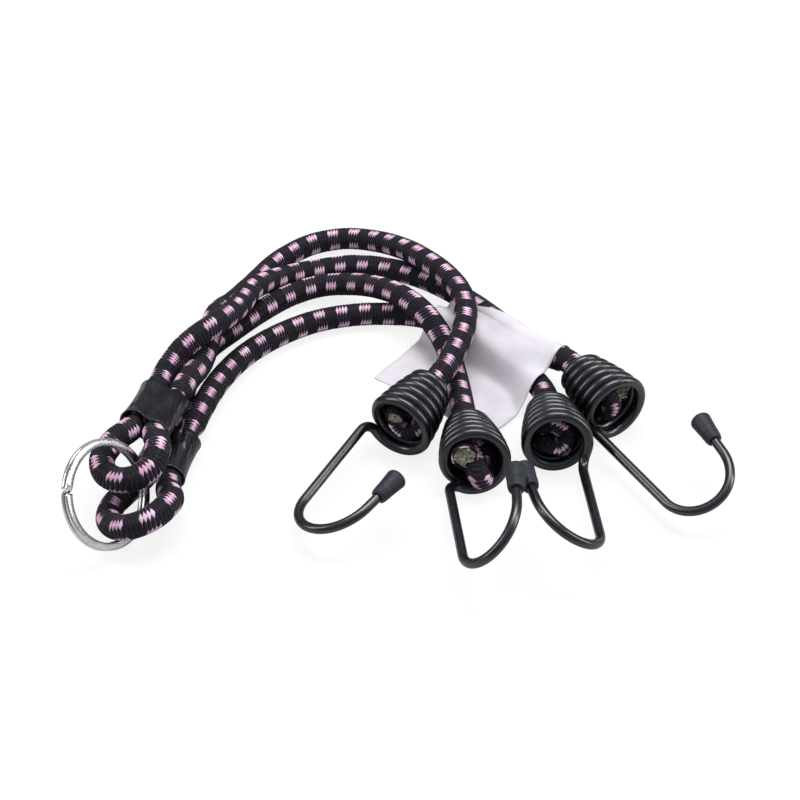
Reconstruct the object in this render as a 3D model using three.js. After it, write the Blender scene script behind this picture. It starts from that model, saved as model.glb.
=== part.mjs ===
// A bungee cord set: two elastic cords folded through two sleeves onto one split ring,
// each of the four arms ending in a stopper knot inside a cone-wound wire hook.
// Millimetres, +Z up. The set lies on the plane z = 0.

import * as THREE from 'three';

// Driving sizes

const cord = {
  diameter: 8,
  coverWall: 0.8,
  coreGap: 0.3,
  pinchedDiameter: 6,
  swellLength: 8,
  sides: 8,
  jointGap: 0.3,
};

const sleeve = {
  length: 18,
  legSpacing: 7.8,
  stackGap: 0.6,
  diameter: 9.6,
  wall: 0.7,
  lip: 0.5,
  clearance: 0.3,
  lead: 3,
  arcSteps: 5,
};

const band = { length: 8, wall: 0.5 };

const ring = {
  outerRadius: 17.2,
  stripWidth: 2.4,
  wireThickness: 1.2,
  coilGap: 0.45,
  notchAngle: 140,
  setbackAngle: 15,
  stepsPerTurn: 32,
};

const hook = {
  wireDiameter: 3.1,
  turns: 6,
  stepsPerTurn: 20,
  sides: 6,
  bellLength: 21.3,
  smallRadius: 6,
  mouthRadius: 9.9,
  neckBend: 5,
  neckSteps: 5,
  shankLength: 34.6,
  bowlRadius: 11.5,
  bowlAngle: 137.5,
  bowlSteps: 9,
  flareRadius: 16.2,
  flareAngle: 33,
  flareSteps: 3,
  tipLength: 16.1,
  bowlHeading: 163,
};
// How fast the cone widens from its small end: 1 would be a straight cone.
const bellCurveShare = 1.6;

const cap = {
  length: 11,
  collarDiameter: 4.9,
  headDiameter: 6.8,
  wireClearance: 0.3,
  boreDepth: 9,
  lip: 0.3,
  segments: 12,
  domeSteps: 4,
};

const knot = {
  cordDiameter: 5.8,
  turnRadius: 3.7,
  turnAngle: 290,
  turnSteps: 8,
  stemTop: 14.2,
  turnStart: 10.4,
  turnEnd: 5.4,
  cutEnd: 1.8,
};

const tag = {
  thickness: 0.5,
  cordGap: 0.45,
  humpGap: 1.1,
  restGap: 0.15,
  stations: 9,
  wrapSteps: 11,
  flapSteps: 16,
  dropSteps: 3,
  flapStartAngle: 55,
  overlapAngle: -40,
  leftFlap: 47,
  rightFlap: 36,
  leftHeading: -127,
  rightHeading: -119,
  humpSlope: 60,
};

// Where things lie, in millimetres and degrees

const sleevePlaces = {
  upper: { centre: [-80.2, -0.9, (sleeve.diameter * 3) / 2 + sleeve.stackGap], slope: -9.2 },
  lower: { centre: [-75.9, -9.2, sleeve.diameter / 2], slope: 0 },
};
// Plan heading of the cords where they leave the sleeves toward the hooks.
const sleeveHeading = 78;

// The ring stands on the table at its rest point.
const ringPlace = { rest: [-84.1042, -45.5700, 0.6898], restAngle: -88, azimuth: -28.2, elevation: 26.3 };

const hookPlaces = [
  { mouth: [-2.0, -6.1, 11.4], azimuth: 240.1, tilt: -4.7, roll: 214.7, cutEndAngle: -76 },
  { mouth: [22.5, -23.4, 11.8], azimuth: 275.1, tilt: 9.6, roll: 244.9, cutEndAngle: -72 },
  { mouth: [49.0, -14.6, 11.9], azimuth: 273.1, tilt: 9.7, roll: 343.0, cutEndAngle: -52 },
  { mouth: [70.1, 3.1, 11.5], azimuth: 301.3, tilt: -2.0, roll: 224.1, cutEndAngle: 176 },
];
// Each cord meets its knot this far outside the cone.
const entryJoint = 2.6;

// Routes of the free stretches, chosen by hand, sleeve to hook
const armRoutes = [
  [
    [-73.6, 11.2, 12.5], [-71.9, 17.2, 12.1], [-68.8, 26.9, 10.8], [-67.0, 36.8, 11.5], [-66.4, 43.7, 12.5],
    [-65.2, 53.1, 12.2], [-60.7, 67.4, 7.0], [-55.6, 79.8, 4.4], [-44.7, 97.8, 4.2], [-33.1, 107.7, 4.2],
    [-20.8, 110.5, 4.5], [-10.7, 107.0, 5.8], [-1.2, 97.6, 9.5], [7.8, 84.5, 13.4], [15.1, 73.5, 14.7],
    [20.0, 62.7, 14.9], [21.5, 51.1, 14.6], [20.2, 40.8, 14.3], [17.6, 31.9, 14.2],
  ],
  [
    [-75.2, 13.4, 4.2], [-72.9, 30.7, 4.1], [-68.1, 44.2, 4.1], [-59.8, 55.2, 4.1], [-50.8, 65.8, 4.2],
    [-40.1, 75.2, 4.6], [-29.5, 79.4, 5.4], [-18.6, 77.8, 7.3], [-8.4, 71.0, 10.7], [0.3, 62.3, 12.8],
    [7.1, 54.3, 12.2], [11.8, 47.2, 9.9], [15.5, 38.4, 6.9], [17.7, 27.4, 5.3],
  ],
  [
    [-68.8, 5.0, 5.0], [-67.0, 12.2, 5.0], [-61.7, 28.7, 4.3], [-54.1, 41.7, 4.1], [-42.9, 52.7, 4.1],
    [-30.7, 60.0, 4.2], [-18.5, 63.5, 4.2], [-6.6, 64.4, 4.1], [5.8, 62.6, 4.3], [15.5, 57.7, 4.3],
    [25.9, 48.7, 4.2], [36.1, 37.8, 4.1], [43.5, 27.8, 4.6],
  ],
  [
    [-81.2, 13.5, 12.6], [-80.1, 18.4, 12.7], [-77.5, 24.5, 14.5], [-72.3, 30.4, 17.8], [-68.6, 33.3, 19.3],
    [-65.0, 36.8, 19.8], [-61.1, 42.9, 18.9], [-57.5, 53.5, 15.6], [-53.0, 70.0, 11.5], [-43.4, 84.0, 6.0],
    [-31.4, 90.8, 4.2], [-17.9, 93.4, 4.3], [-5.0, 91.4, 4.2], [6.0, 86.4, 4.2], [13.2, 80.3, 4.9],
    [20.9, 72.8, 5.2], [48.4, 34.0, 10.7],
  ],
];
// Which sleeve each arm leaves, and on which side of it, seen toward the hooks with +1 on the right.
// The first points of each path lie still on the table, and the rest of the cord stretches.
// It is straight over the entry lead before its knot.
const armStarts = [
  { from: 'upper', side: 1, stillPoints: 14, entryLead: 7 },
  { from: 'lower', side: -1, stillPoints: 10, entryLead: 7 },
  { from: 'lower', side: 1, stillPoints: 10, entryLead: 7 },
  { from: 'upper', side: -1, stillPoints: 15, entryLead: 3 },
];

const loopRoutes = {
  upper: [
    [-91.6, -20.5, 18.0], [-94.2, -27.5, 17.1], [-92.4, -33.6, 16.6], [-87.4, -37.1, 17.1],
    [-81.6, -36.6, 18.2], [-77.7, -32.7, 19.5], [-76.7, -26.2, 20.1],
  ],
  lower: [
    [-87.7, -30.0, 5.2], [-91.0, -35.3, 4.9], [-91.7, -41.2, 5.2], [-89.1, -47.2, 7.2],
    [-83.4, -50.1, 9.8], [-77.2, -48.2, 11.4], [-72.5, -40.8, 11.0], [-74.3, -29.0, 6.0],
  ],
};

// Materials

const coverMaterial = new THREE.MeshStandardMaterial({ color: 0x1b1c20, roughness: 0.9, metalness: 0 });
const coreMaterial = new THREE.MeshStandardMaterial({ color: 0xb9b39a, roughness: 0.8, metalness: 0 });
const sleeveMaterial = new THREE.MeshStandardMaterial({ color: 0x15161a, roughness: 0.45, metalness: 0 });
const bandMaterial = new THREE.MeshStandardMaterial({ color: 0x9a9da1, roughness: 0.4, metalness: 1 });
const ringMaterial = new THREE.MeshStandardMaterial({ color: 0xc9ccd0, roughness: 0.12, metalness: 1 });
const wireMaterial = new THREE.MeshStandardMaterial({ color: 0x0c0e12, roughness: 0.2, metalness: 0 });
const capMaterial = new THREE.MeshStandardMaterial({ color: 0x202328, roughness: 0.7, metalness: 0 });
const tagMaterial = new THREE.MeshStandardMaterial({ color: 0xf2f2f4, roughness: 0.75, metalness: 0 });

// Helpers for closed surfaces

const fullTurn = 360;
const quarterTurn = fullTurn / 4;

const point = (values) => new THREE.Vector3(...values);
const radians = THREE.MathUtils.degToRad;
const lerp = THREE.MathUtils.lerp;

function named(name, geometry, material) {
  const mesh = new THREE.Mesh(geometry, material);
  mesh.name = name;
  return mesh;
}

function geometryOf(points, triangles) {
  const geometry = new THREE.BufferGeometry();
  geometry.setFromPoints(points);
  geometry.setIndex(triangles.flat());
  geometry.computeVertexNormals();
  return geometry;
}

// Joins rings of points, each counter-clockwise about the way they run, into one closed skin.
// With bore rings the ends are open rims, otherwise they are flat discs.
function skin(rings, boreRings = null) {
  const size = rings[0].length;
  const last = rings.length - 1;
  const points = [...rings.flat(), ...(boreRings ? boreRings.flat() : [])];
  const outer = (i, j) => i * size + (j % size);
  const inner = (i, j) => rings.length * size + outer(i, j);
  const triangles = [];
  for (let i = 0; i < last; i += 1) {
    for (let j = 0; j < size; j += 1) {
      triangles.push([outer(i, j), outer(i, j + 1), outer(i + 1, j + 1)]);
      triangles.push([outer(i, j), outer(i + 1, j + 1), outer(i + 1, j)]);
      if (boreRings) {
        triangles.push([inner(i, j), inner(i + 1, j + 1), inner(i, j + 1)]);
        triangles.push([inner(i, j), inner(i + 1, j), inner(i + 1, j + 1)]);
      }
    }
  }
  for (let j = 0; j < size; j += 1) {
    if (boreRings) {
      triangles.push([outer(0, j), inner(0, j), inner(0, j + 1)]);
      triangles.push([outer(0, j), inner(0, j + 1), outer(0, j + 1)]);
      triangles.push([outer(last, j), inner(last, j + 1), inner(last, j)]);
      triangles.push([outer(last, j), outer(last, j + 1), inner(last, j + 1)]);
    } else if (j > 0 && j < size - 1) {
      triangles.push([outer(0, 0), outer(0, j + 1), outer(0, j)]);
      triangles.push([outer(last, 0), outer(last, j), outer(last, j + 1)]);
    }
  }
  return geometryOf(points, triangles);
}

// Frames along a route, carried on from point to point without twist.
function framesAlong(route) {
  const directions = route.slice(1).map((p, i) => p.clone().sub(route[i]).normalize());
  const tangents = route.map((_, i) => {
    const before = directions[Math.max(i - 1, 0)];
    const after = directions[Math.min(i, directions.length - 1)];
    return before.clone().add(after).normalize();
  });
  const up = Math.abs(tangents[0].z) < Math.SQRT1_2 ? new THREE.Vector3(0, 0, 1) : new THREE.Vector3(1, 0, 0);
  let normal = new THREE.Vector3().crossVectors(up, tangents[0]).normalize();
  return tangents.map((tangent, i) => {
    if (i > 0) {
      const turn = new THREE.Quaternion().setFromUnitVectors(tangents[i - 1], tangent);
      normal = normal.clone().applyQuaternion(turn).normalize();
    }
    return { centre: route[i], tangent, normal, side: new THREE.Vector3().crossVectors(tangent, normal) };
  });
}

function ringsAlong(route, radii, sides) {
  return framesAlong(route).map(({ centre, normal, side }, i) => {
    const ringPoints = [];
    for (let j = 0; j < sides; j += 1) {
      const angle = (j / sides) * Math.PI * 2;
      const spoke = normal.clone().multiplyScalar(Math.cos(angle)).addScaledVector(side, Math.sin(angle));
      ringPoints.push(centre.clone().addScaledVector(spoke, radii[i]));
    }
    return ringPoints;
  });
}

function lengthsAlong(route) {
  const lengths = [0];
  route.slice(1).forEach((p, i) => lengths.push(lengths[i] + p.distanceTo(route[i])));
  return lengths;
}

// Smallest clear distance between two turns of a wound wire, measured on its points.
function leastGap(route, thickness, stepsApart) {
  let least = Infinity;
  for (let i = 0; i < route.length; i += 1) {
    for (let j = i + stepsApart; j < route.length; j += 1) {
      least = Math.min(least, route[i].distanceTo(route[j]));
    }
  }
  return least - thickness;
}

// Cord stretches: a woven cover with a rubber core in it

function cordStretch(name, route, radii, first = 0, end = route.length) {
  const coverBores = radii.map((radius) => radius - cord.coverWall);
  const coreRadii = coverBores.map((radius) => radius - cord.coreGap);
  const rings = (values) => ringsAlong(route, values, cord.sides).slice(first, end);
  const cover = skin(rings(radii), rings(coverBores));
  const core = skin(rings(coreRadii));
  return [named(`${name}_sheath`, cover, coverMaterial), named(`${name}_core`, core, coreMaterial)];
}

// The cord is pinched inside a sleeve and swells to its full diameter outside it.
function swollenRadius(distance) {
  const pinched = sleeve.length / 2 + sleeve.lead;
  const share = THREE.MathUtils.clamp((distance - pinched) / cord.swellLength, 0, 1);
  return lerp(cord.pinchedDiameter, cord.diameter, share) / 2;
}

// Sleeves and the crimped bands in them

function sleeveBasis(place) {
  const heading = radians(sleeveHeading);
  const slope = radians(place.slope);
  const along = new THREE.Vector3(
    Math.cos(heading) * Math.cos(slope),
    Math.sin(heading) * Math.cos(slope),
    Math.sin(slope),
  );
  const side = new THREE.Vector3(Math.sin(heading), -Math.cos(heading), 0);
  const up = new THREE.Vector3().crossVectors(side, along);
  return { centre: point(place.centre), along, side, up };
}

// Points on one leg's axis at these distances from the middle of the sleeve.
function legPoints(place, sideSign, distances) {
  const { centre, along, side } = sleeveBasis(place);
  const legCentre = centre.clone().addScaledVector(side, (sideSign * sleeve.legSpacing) / 2);
  return distances.map((distance) => legCentre.clone().addScaledVector(along, distance));
}

// A flat-sided oval across the two legs, at this distance along the sleeve.
function ovalRing(place, radius, distance) {
  const { centre, along, side, up } = sleeveBasis(place);
  const middle = centre.clone().addScaledVector(along, distance);
  const ringPoints = [];
  for (const sign of [1, -1]) {
    for (let j = 0; j <= sleeve.arcSteps; j += 1) {
      const angle = (j / sleeve.arcSteps) * Math.PI;
      const across = sign * (sleeve.legSpacing / 2 + radius * Math.sin(angle));
      const high = -sign * radius * Math.cos(angle);
      ringPoints.push(middle.clone().addScaledVector(side, across).addScaledVector(up, high));
    }
  }
  return ringPoints.reverse();
}

function sleeveMesh(name, place) {
  const radius = sleeve.diameter / 2;
  const end = sleeve.length / 2;
  const outline = [
    [-end, radius - sleeve.lip],
    [-end + sleeve.lip, radius],
    [end - sleeve.lip, radius],
    [end, radius - sleeve.lip],
  ];
  const outside = outline.map(([distance, r]) => ovalRing(place, r, distance));
  const inside = outline.map(([distance]) => ovalRing(place, radius - sleeve.wall, distance));
  return named(name, skin(outside, inside), sleeveMaterial);
}

function bandMesh(name, place) {
  const outerRadius = sleeve.diameter / 2 - sleeve.wall - sleeve.clearance;
  const ends = [-band.length / 2, band.length / 2];
  const outside = ends.map((distance) => ovalRing(place, outerRadius, distance));
  const inside = ends.map((distance) => ovalRing(place, outerRadius - band.wall, distance));
  return named(name, skin(outside, inside), bandMaterial);
}

// Loops over the split ring

function loopMeshes(name, place, route) {
  const outside = -(sleeve.length / 2 + sleeve.clearance);
  const ends = [-cord.jointGap / 2, outside, outside - sleeve.lead];
  const path = [
    ...legPoints(place, -1, ends),
    ...route.map(point),
    ...legPoints(place, 1, ends).reverse(),
  ];
  const lengths = lengthsAlong(path);
  const whole = lengths[lengths.length - 1];
  const radii = lengths.map((length) => swollenRadius(Math.min(length, whole - length)));
  return cordStretch(name, path, radii);
}

// Split ring: two flat coils of one strip, crossing over at the notch

function splitRingMesh() {
  const azimuth = radians(ringPlace.azimuth);
  const elevation = radians(ringPlace.elevation);
  const normal = new THREE.Vector3(
    Math.cos(azimuth) * Math.cos(elevation),
    Math.sin(azimuth) * Math.cos(elevation),
    Math.sin(elevation),
  );
  const level = new THREE.Vector3(-Math.sin(azimuth), Math.cos(azimuth), 0);
  const steep = new THREE.Vector3().crossVectors(normal, level);
  const restAngle = radians(ringPlace.restAngle);
  const down = level.clone().multiplyScalar(Math.cos(restAngle)).addScaledVector(steep, Math.sin(restAngle));
  const centre = point(ringPlace.rest).addScaledVector(down, -ring.outerRadius);
  const innerRadius = ring.outerRadius - ring.stripWidth;
  const offset = (ring.wireThickness + ring.coilGap) / 2;
  const startAngle = ring.setbackAngle;
  const endAngle = 2 * fullTurn - ring.setbackAngle;
  const steps = 2 * ring.stepsPerTurn;
  const rings = [];
  const middles = [];
  for (let i = 0; i <= steps; i += 1) {
    const turned = lerp(startAngle, endAngle, i / steps);
    const share = THREE.MathUtils.smoothstep(turned, fullTurn - ring.setbackAngle, fullTurn + ring.setbackAngle);
    const shift = lerp(offset, -offset, share);
    const angle = radians(ring.notchAngle + turned);
    const spoke = level.clone().multiplyScalar(Math.cos(angle)).addScaledVector(steep, Math.sin(angle));
    const corners = [
      [ring.outerRadius, -ring.wireThickness / 2],
      [ring.outerRadius, ring.wireThickness / 2],
      [innerRadius, ring.wireThickness / 2],
      [innerRadius, -ring.wireThickness / 2],
    ];
    const place = ([radius, height]) =>
      centre.clone().addScaledVector(spoke, radius).addScaledVector(normal, shift + height);
    rings.push(corners.map(place).reverse());
    middles.push(place([(ring.outerRadius + innerRadius) / 2, 0]));
  }
  console.log('split ring, least gap between coils', leastGap(middles, ring.wireThickness, ring.stepsPerTurn / 2));
  return named('split_ring', skin(rings), ringMaterial);
}

// Hooks: one wire, a widening cone of turns that runs on into neck, shank, bowl and flared tip

function hookBasis({ azimuth, tilt, roll, mouth }) {
  const heading = radians(azimuth);
  const lift = radians(tilt);
  const turn = radians(roll);
  const axis = new THREE.Vector3(
    Math.cos(heading) * Math.cos(lift),
    Math.sin(heading) * Math.cos(lift),
    Math.sin(lift),
  );
  const level = new THREE.Vector3(-Math.sin(heading), Math.cos(heading), 0);
  const up = new THREE.Vector3().crossVectors(axis, level);
  const first = level.clone().multiplyScalar(Math.cos(turn)).addScaledVector(up, Math.sin(turn));
  const second = new THREE.Vector3().crossVectors(axis, first);
  return new THREE.Matrix4().makeBasis(first, second, axis).setPosition(point(mouth));
}

// Centre line radius of the cone at this share of the way from the small end to the mouth.
function bellRadius(share) {
  return lerp(hook.smallRadius, hook.mouthRadius, 1 - (1 - share) ** bellCurveShare);
}

function bellRoute() {
  const steps = hook.turns * hook.stepsPerTurn;
  const route = [];
  for (let i = 0; i <= steps; i += 1) {
    const share = i / steps;
    const angle = (1 - share) * hook.turns * Math.PI * 2;
    const radius = bellRadius(share);
    route.push(new THREE.Vector3(
      radius * Math.cos(angle),
      radius * Math.sin(angle),
      -hook.bellLength * (1 - share),
    ));
  }
  return route;
}

// An arc that leaves this point along "ahead" and bends toward "inward".
function arcFrom(start, ahead, inward, radius, degrees, steps) {
  const centre = start.clone().addScaledVector(inward, radius);
  const arc = [];
  for (let i = 1; i <= steps; i += 1) {
    const angle = radians((degrees * i) / steps);
    arc.push(centre.clone()
      .addScaledVector(inward, -radius * Math.cos(angle))
      .addScaledVector(ahead, radius * Math.sin(angle)));
  }
  const turn = radians(degrees);
  const outAhead = ahead.clone().multiplyScalar(Math.cos(turn)).addScaledVector(inward, Math.sin(turn));
  const outInward = inward.clone().multiplyScalar(Math.cos(turn)).addScaledVector(ahead, -Math.sin(turn));
  return { arc, ahead: outAhead, inward: outInward };
}

function hookRoute() {
  const coil = bellRoute();
  const out = new THREE.Vector3(0, 0, 1);
  const sideways = new THREE.Vector3(0, -1, 0);
  const neck = arcFrom(coil[coil.length - 1], sideways, out, hook.neckBend, quarterTurn, hook.neckSteps);
  const shankEnd = neck.arc[hook.neckSteps - 1].clone().addScaledVector(out, hook.shankLength);
  const heading = radians(hook.bowlHeading);
  const across = new THREE.Vector3(Math.cos(heading), Math.sin(heading), 0);
  const bowl = arcFrom(shankEnd, out, across, hook.bowlRadius, hook.bowlAngle, hook.bowlSteps);
  const bowlEnd = bowl.arc[hook.bowlSteps - 1];
  const flare = arcFrom(bowlEnd, bowl.ahead, bowl.inward, hook.flareRadius, hook.flareAngle, hook.flareSteps);
  const flareEnd = flare.arc[hook.flareSteps - 1];
  const collar = flareEnd.clone().addScaledVector(flare.ahead, hook.tipLength - cap.length);
  const wireEnd = collar.clone().addScaledVector(flare.ahead, cap.boreDepth - cap.wireClearance);
  const route = [...coil, ...neck.arc, shankEnd, ...bowl.arc, ...flare.arc, collar, wireEnd];
  return { coil, route, collar, tipDirection: flare.ahead };
}

function capGeometry() {
  const collar = cap.collarDiameter / 2;
  const head = cap.headDiameter / 2;
  const bore = hook.wireDiameter / 2 + cap.wireClearance;
  const outline = [];
  outline.push(new THREE.Vector2(0, cap.boreDepth));
  outline.push(new THREE.Vector2(bore, cap.boreDepth));
  outline.push(new THREE.Vector2(bore, 0));
  outline.push(new THREE.Vector2(collar - cap.lip, 0));
  outline.push(new THREE.Vector2(collar, cap.lip));
  outline.push(new THREE.Vector2(head, cap.length - head / 2));
  for (let i = 1; i <= cap.domeSteps; i += 1) {
    const angle = (i / cap.domeSteps) * (Math.PI / 2);
    const radius = i === cap.domeSteps ? 0 : head * Math.cos(angle);
    outline.push(new THREE.Vector2(radius, cap.length - (head / 2) * (1 - Math.sin(angle))));
  }
  return new THREE.LatheGeometry(outline, cap.segments);
}

function hookGroup(number, place) {
  const group = new THREE.Group();
  const { coil, route, collar, tipDirection } = hookRoute();
  const radii = route.map(() => hook.wireDiameter / 2);
  const wire = named(`hook_wire_${number}`, skin(ringsAlong(route, radii, hook.sides)), wireMaterial);
  const tipCap = named(`tip_cap_${number}`, capGeometry(), capMaterial);
  tipCap.position.copy(collar);
  tipCap.quaternion.setFromUnitVectors(new THREE.Vector3(0, 1, 0), tipDirection);
  if (number === 1) {
    console.log('hook, least gap between turns', leastGap(coil, hook.wireDiameter, hook.stepsPerTurn / 2));
  }
  group.add(wire, tipCap);
  group.applyMatrix4(hookBasis(place));
  return group;
}

// Stopper knots: one round turn inside the cone, the cut end turned out of the mouth

function knotGroup(number, place) {
  const start = hook.bellLength + entryJoint;
  const startAngle = radians(place.cutEndAngle - knot.turnAngle);
  const path = [new THREE.Vector3(0, 0, -start), new THREE.Vector3(0, 0, -knot.stemTop)];
  for (let i = 0; i <= knot.turnSteps; i += 1) {
    const share = i / knot.turnSteps;
    const angle = startAngle + radians(knot.turnAngle) * share;
    path.push(new THREE.Vector3(
      knot.turnRadius * Math.cos(angle),
      knot.turnRadius * Math.sin(angle),
      -lerp(knot.turnStart, knot.turnEnd, share),
    ));
  }
  const lastTurn = path[path.length - 1];
  path.push(new THREE.Vector3(lastTurn.x, lastTurn.y, -knot.cutEnd));
  const radii = path.map((_, i) => (i === 0 ? cord.diameter : knot.cordDiameter) / 2);
  const group = new THREE.Group();
  group.add(...cordStretch(`knot_${number}`, path, radii));
  group.applyMatrix4(hookBasis(place));
  return group;
}

// Arms: sleeve to hook

function armPath(index) {
  const { from, side, entryLead } = armStarts[index];
  const outside = sleeve.length / 2 + sleeve.clearance;
  const basis = hookBasis(hookPlaces[index]);
  const joint = hook.bellLength + entryJoint + cord.jointGap;
  const entry = [joint + entryLead, joint].map((depth) => new THREE.Vector3(0, 0, -depth).applyMatrix4(basis));
  return [
    ...legPoints(sleevePlaces[from], side, [cord.jointGap / 2, outside, outside + sleeve.lead]),
    ...armRoutes[index].map(point),
    ...entry,
  ];
}

// Adds two points to a path, a joint gap apart, in the middle of the segment after this many points.
function cutPath(path, count) {
  const before = path[count - 1];
  const after = path[count];
  const along = after.clone().sub(before).normalize();
  const middle = before.clone().lerp(after, 1 / 2);
  const ends = [-1, 1].map((sign) => middle.clone().addScaledVector(along, (sign * cord.jointGap) / 2));
  return [...path.slice(0, count), ...ends, ...path.slice(count)];
}

function armMeshes(index) {
  const name = `arm_${index + 1}`;
  const { stillPoints } = armStarts[index];
  const path = cutPath(armPath(index), stillPoints);
  const radii = lengthsAlong(path).map(swollenRadius);
  return [
    ...cordStretch(`${name}_base`, path, radii, 0, stillPoints + 1),
    ...cordStretch(name, path, radii, stillPoints + 1),
  ];
}

// Care label: a strip folded round arm 4, its flap lying forward over arm 3 and onto the table

function segmentDistance(p, a, b) {
  const ab = b.clone().sub(a);
  const flat = new THREE.Vector3(p.x - a.x, p.y - a.y, 0);
  const share = THREE.MathUtils.clamp((flat.x * ab.x + flat.y * ab.y) / (ab.x * ab.x + ab.y * ab.y), 0, 1);
  const nearest = a.clone().addScaledVector(ab, share);
  return { distance: Math.hypot(p.x - nearest.x, p.y - nearest.y), height: nearest.z };
}

// Height of the flap's middle over this place: on the table, or humped over the arm below it.
function flapHeight(p, armBelow) {
  const floor = tag.restGap + tag.thickness / 2;
  const radius = cord.diameter / 2 + tag.humpGap + tag.thickness / 2;
  const leaveAngle = radians(tag.humpSlope);
  let highest = floor;
  for (let i = 1; i < armBelow.length; i += 1) {
    const { distance, height } = segmentDistance(p, armBelow[i - 1], armBelow[i]);
    const leave = radius * Math.sin(leaveAngle);
    const rise = distance < leave
      ? Math.sqrt(radius * radius - distance * distance)
      : radius * Math.cos(leaveAngle) - (distance - leave) * Math.tan(leaveAngle);
    highest = Math.max(highest, height + rise);
  }
  return highest;
}

function tagStrip(share, foldLine, armBelow) {
  const centre = foldLine[0].clone().lerp(foldLine[1], share);
  const along = foldLine[1].clone().sub(foldLine[0]).normalize();
  const heading = radians(lerp(tag.leftHeading, tag.rightHeading, share));
  const forward = new THREE.Vector3(Math.cos(heading), Math.sin(heading), 0);
  const across = forward.clone().addScaledVector(along, -forward.dot(along)).normalize();
  const up = new THREE.Vector3().crossVectors(across, along).normalize();
  if (up.z < 0) up.negate();
  const radius = cord.diameter / 2 + tag.cordGap + tag.thickness / 2;
  const strip = [];
  for (let i = 0; i <= tag.wrapSteps; i += 1) {
    const angle = radians(lerp(fullTurn + tag.overlapAngle, tag.flapStartAngle, i / tag.wrapSteps));
    strip.push(centre.clone()
      .addScaledVector(across, radius * Math.cos(angle))
      .addScaledVector(up, radius * Math.sin(angle)));
  }
  const leave = strip[strip.length - 1];
  const reach = lerp(tag.leftFlap, tag.rightFlap, share);
  for (let i = 1; i <= tag.flapSteps; i += 1) {
    const place = leave.clone().addScaledVector(forward, (reach * i) / tag.flapSteps);
    const drop = THREE.MathUtils.clamp(i / tag.dropSteps, 0, 1);
    place.z = lerp(leave.z, flapHeight(place, armBelow), drop);
    strip.push(place);
  }
  return { strip, across: along };
}

function tagMesh() {
  const carrier = armPath(3);
  const foldStart = carrier[carrier.length - 4];
  const foldEnd = carrier[carrier.length - 3];
  const foldLine = [foldStart, foldEnd];
  const armBelow = armPath(2);
  const rings = [];
  for (let i = 0; i < tag.stations; i += 1) {
    const { strip, across } = tagStrip(i / (tag.stations - 1), foldLine, armBelow);
    const normals = strip.map((p, j) => {
      const before = strip[Math.max(j - 1, 0)];
      const after = strip[Math.min(j + 1, strip.length - 1)];
      return new THREE.Vector3().crossVectors(across, after.clone().sub(before)).normalize();
    });
    const half = tag.thickness / 2;
    const upper = strip.map((p, j) => p.clone().addScaledVector(normals[j], half));
    const lower = strip.map((p, j) => p.clone().addScaledVector(normals[j], -half));
    rings.push([upper, lower]);
  }
  return named('tag', sheetGeometry(rings), tagMaterial);
}

// A sheet with two faces and four edges, from stations of upper and lower points.
function sheetGeometry(stations) {
  const across = stations[0][0].length;
  const points = stations.flatMap(([upper, lower]) => [...upper, ...lower]);
  const upper = (i, j) => i * 2 * across + j;
  const lower = (i, j) => upper(i, j) + across;
  const last = stations.length - 1;
  const triangles = [];
  const quad = (a, b, c, d) => triangles.push([a, b, c], [a, c, d]);
  for (let i = 0; i < last; i += 1) {
    for (let j = 0; j < across - 1; j += 1) {
      quad(upper(i, j), upper(i + 1, j), upper(i + 1, j + 1), upper(i, j + 1));
      quad(lower(i, j), lower(i, j + 1), lower(i + 1, j + 1), lower(i + 1, j));
    }
    quad(upper(i, 0), lower(i, 0), lower(i + 1, 0), upper(i + 1, 0));
    quad(upper(i + 1, across - 1), lower(i + 1, across - 1), lower(i, across - 1), upper(i, across - 1));
  }
  for (let j = 0; j < across - 1; j += 1) {
    quad(upper(0, j), upper(0, j + 1), lower(0, j + 1), lower(0, j));
    quad(upper(last, j), lower(last, j), lower(last, j + 1), upper(last, j + 1));
  }
  return geometryOf(points, triangles);
}

// Assembly

const bungee = new THREE.Group();
bungee.add(splitRingMesh());
for (const [level, place] of Object.entries(sleevePlaces)) {
  bungee.add(sleeveMesh(`sleeve_${level}`, place));
  bungee.add(bandMesh(`crimp_band_${level}`, place));
  bungee.add(...loopMeshes(`loop_${level}`, place, loopRoutes[level]));
}
hookPlaces.forEach((place, index) => {
  bungee.add(...armMeshes(index));
  bungee.add(knotGroup(index + 1, place));
  bungee.add(hookGroup(index + 1, place));
});
bungee.add(tagMesh());

export default bungee;
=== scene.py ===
import math

import bpy
import numpy as np
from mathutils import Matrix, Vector


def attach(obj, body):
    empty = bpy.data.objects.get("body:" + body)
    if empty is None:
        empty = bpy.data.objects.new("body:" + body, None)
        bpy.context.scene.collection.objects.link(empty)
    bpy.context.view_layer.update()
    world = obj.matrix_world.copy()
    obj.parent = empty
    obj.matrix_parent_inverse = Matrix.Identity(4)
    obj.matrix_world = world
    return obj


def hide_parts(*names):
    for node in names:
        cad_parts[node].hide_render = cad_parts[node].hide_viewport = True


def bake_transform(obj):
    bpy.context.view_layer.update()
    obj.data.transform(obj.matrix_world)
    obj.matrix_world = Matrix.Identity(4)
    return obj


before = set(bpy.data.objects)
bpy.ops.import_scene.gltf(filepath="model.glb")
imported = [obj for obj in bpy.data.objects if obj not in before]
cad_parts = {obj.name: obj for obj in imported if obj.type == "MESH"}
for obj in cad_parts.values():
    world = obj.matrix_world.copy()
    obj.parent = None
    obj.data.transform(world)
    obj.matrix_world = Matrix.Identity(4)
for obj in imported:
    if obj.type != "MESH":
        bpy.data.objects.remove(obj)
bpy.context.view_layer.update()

# Driving sizes, in metres and degrees. Where the part has the same size, they agree.

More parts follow.
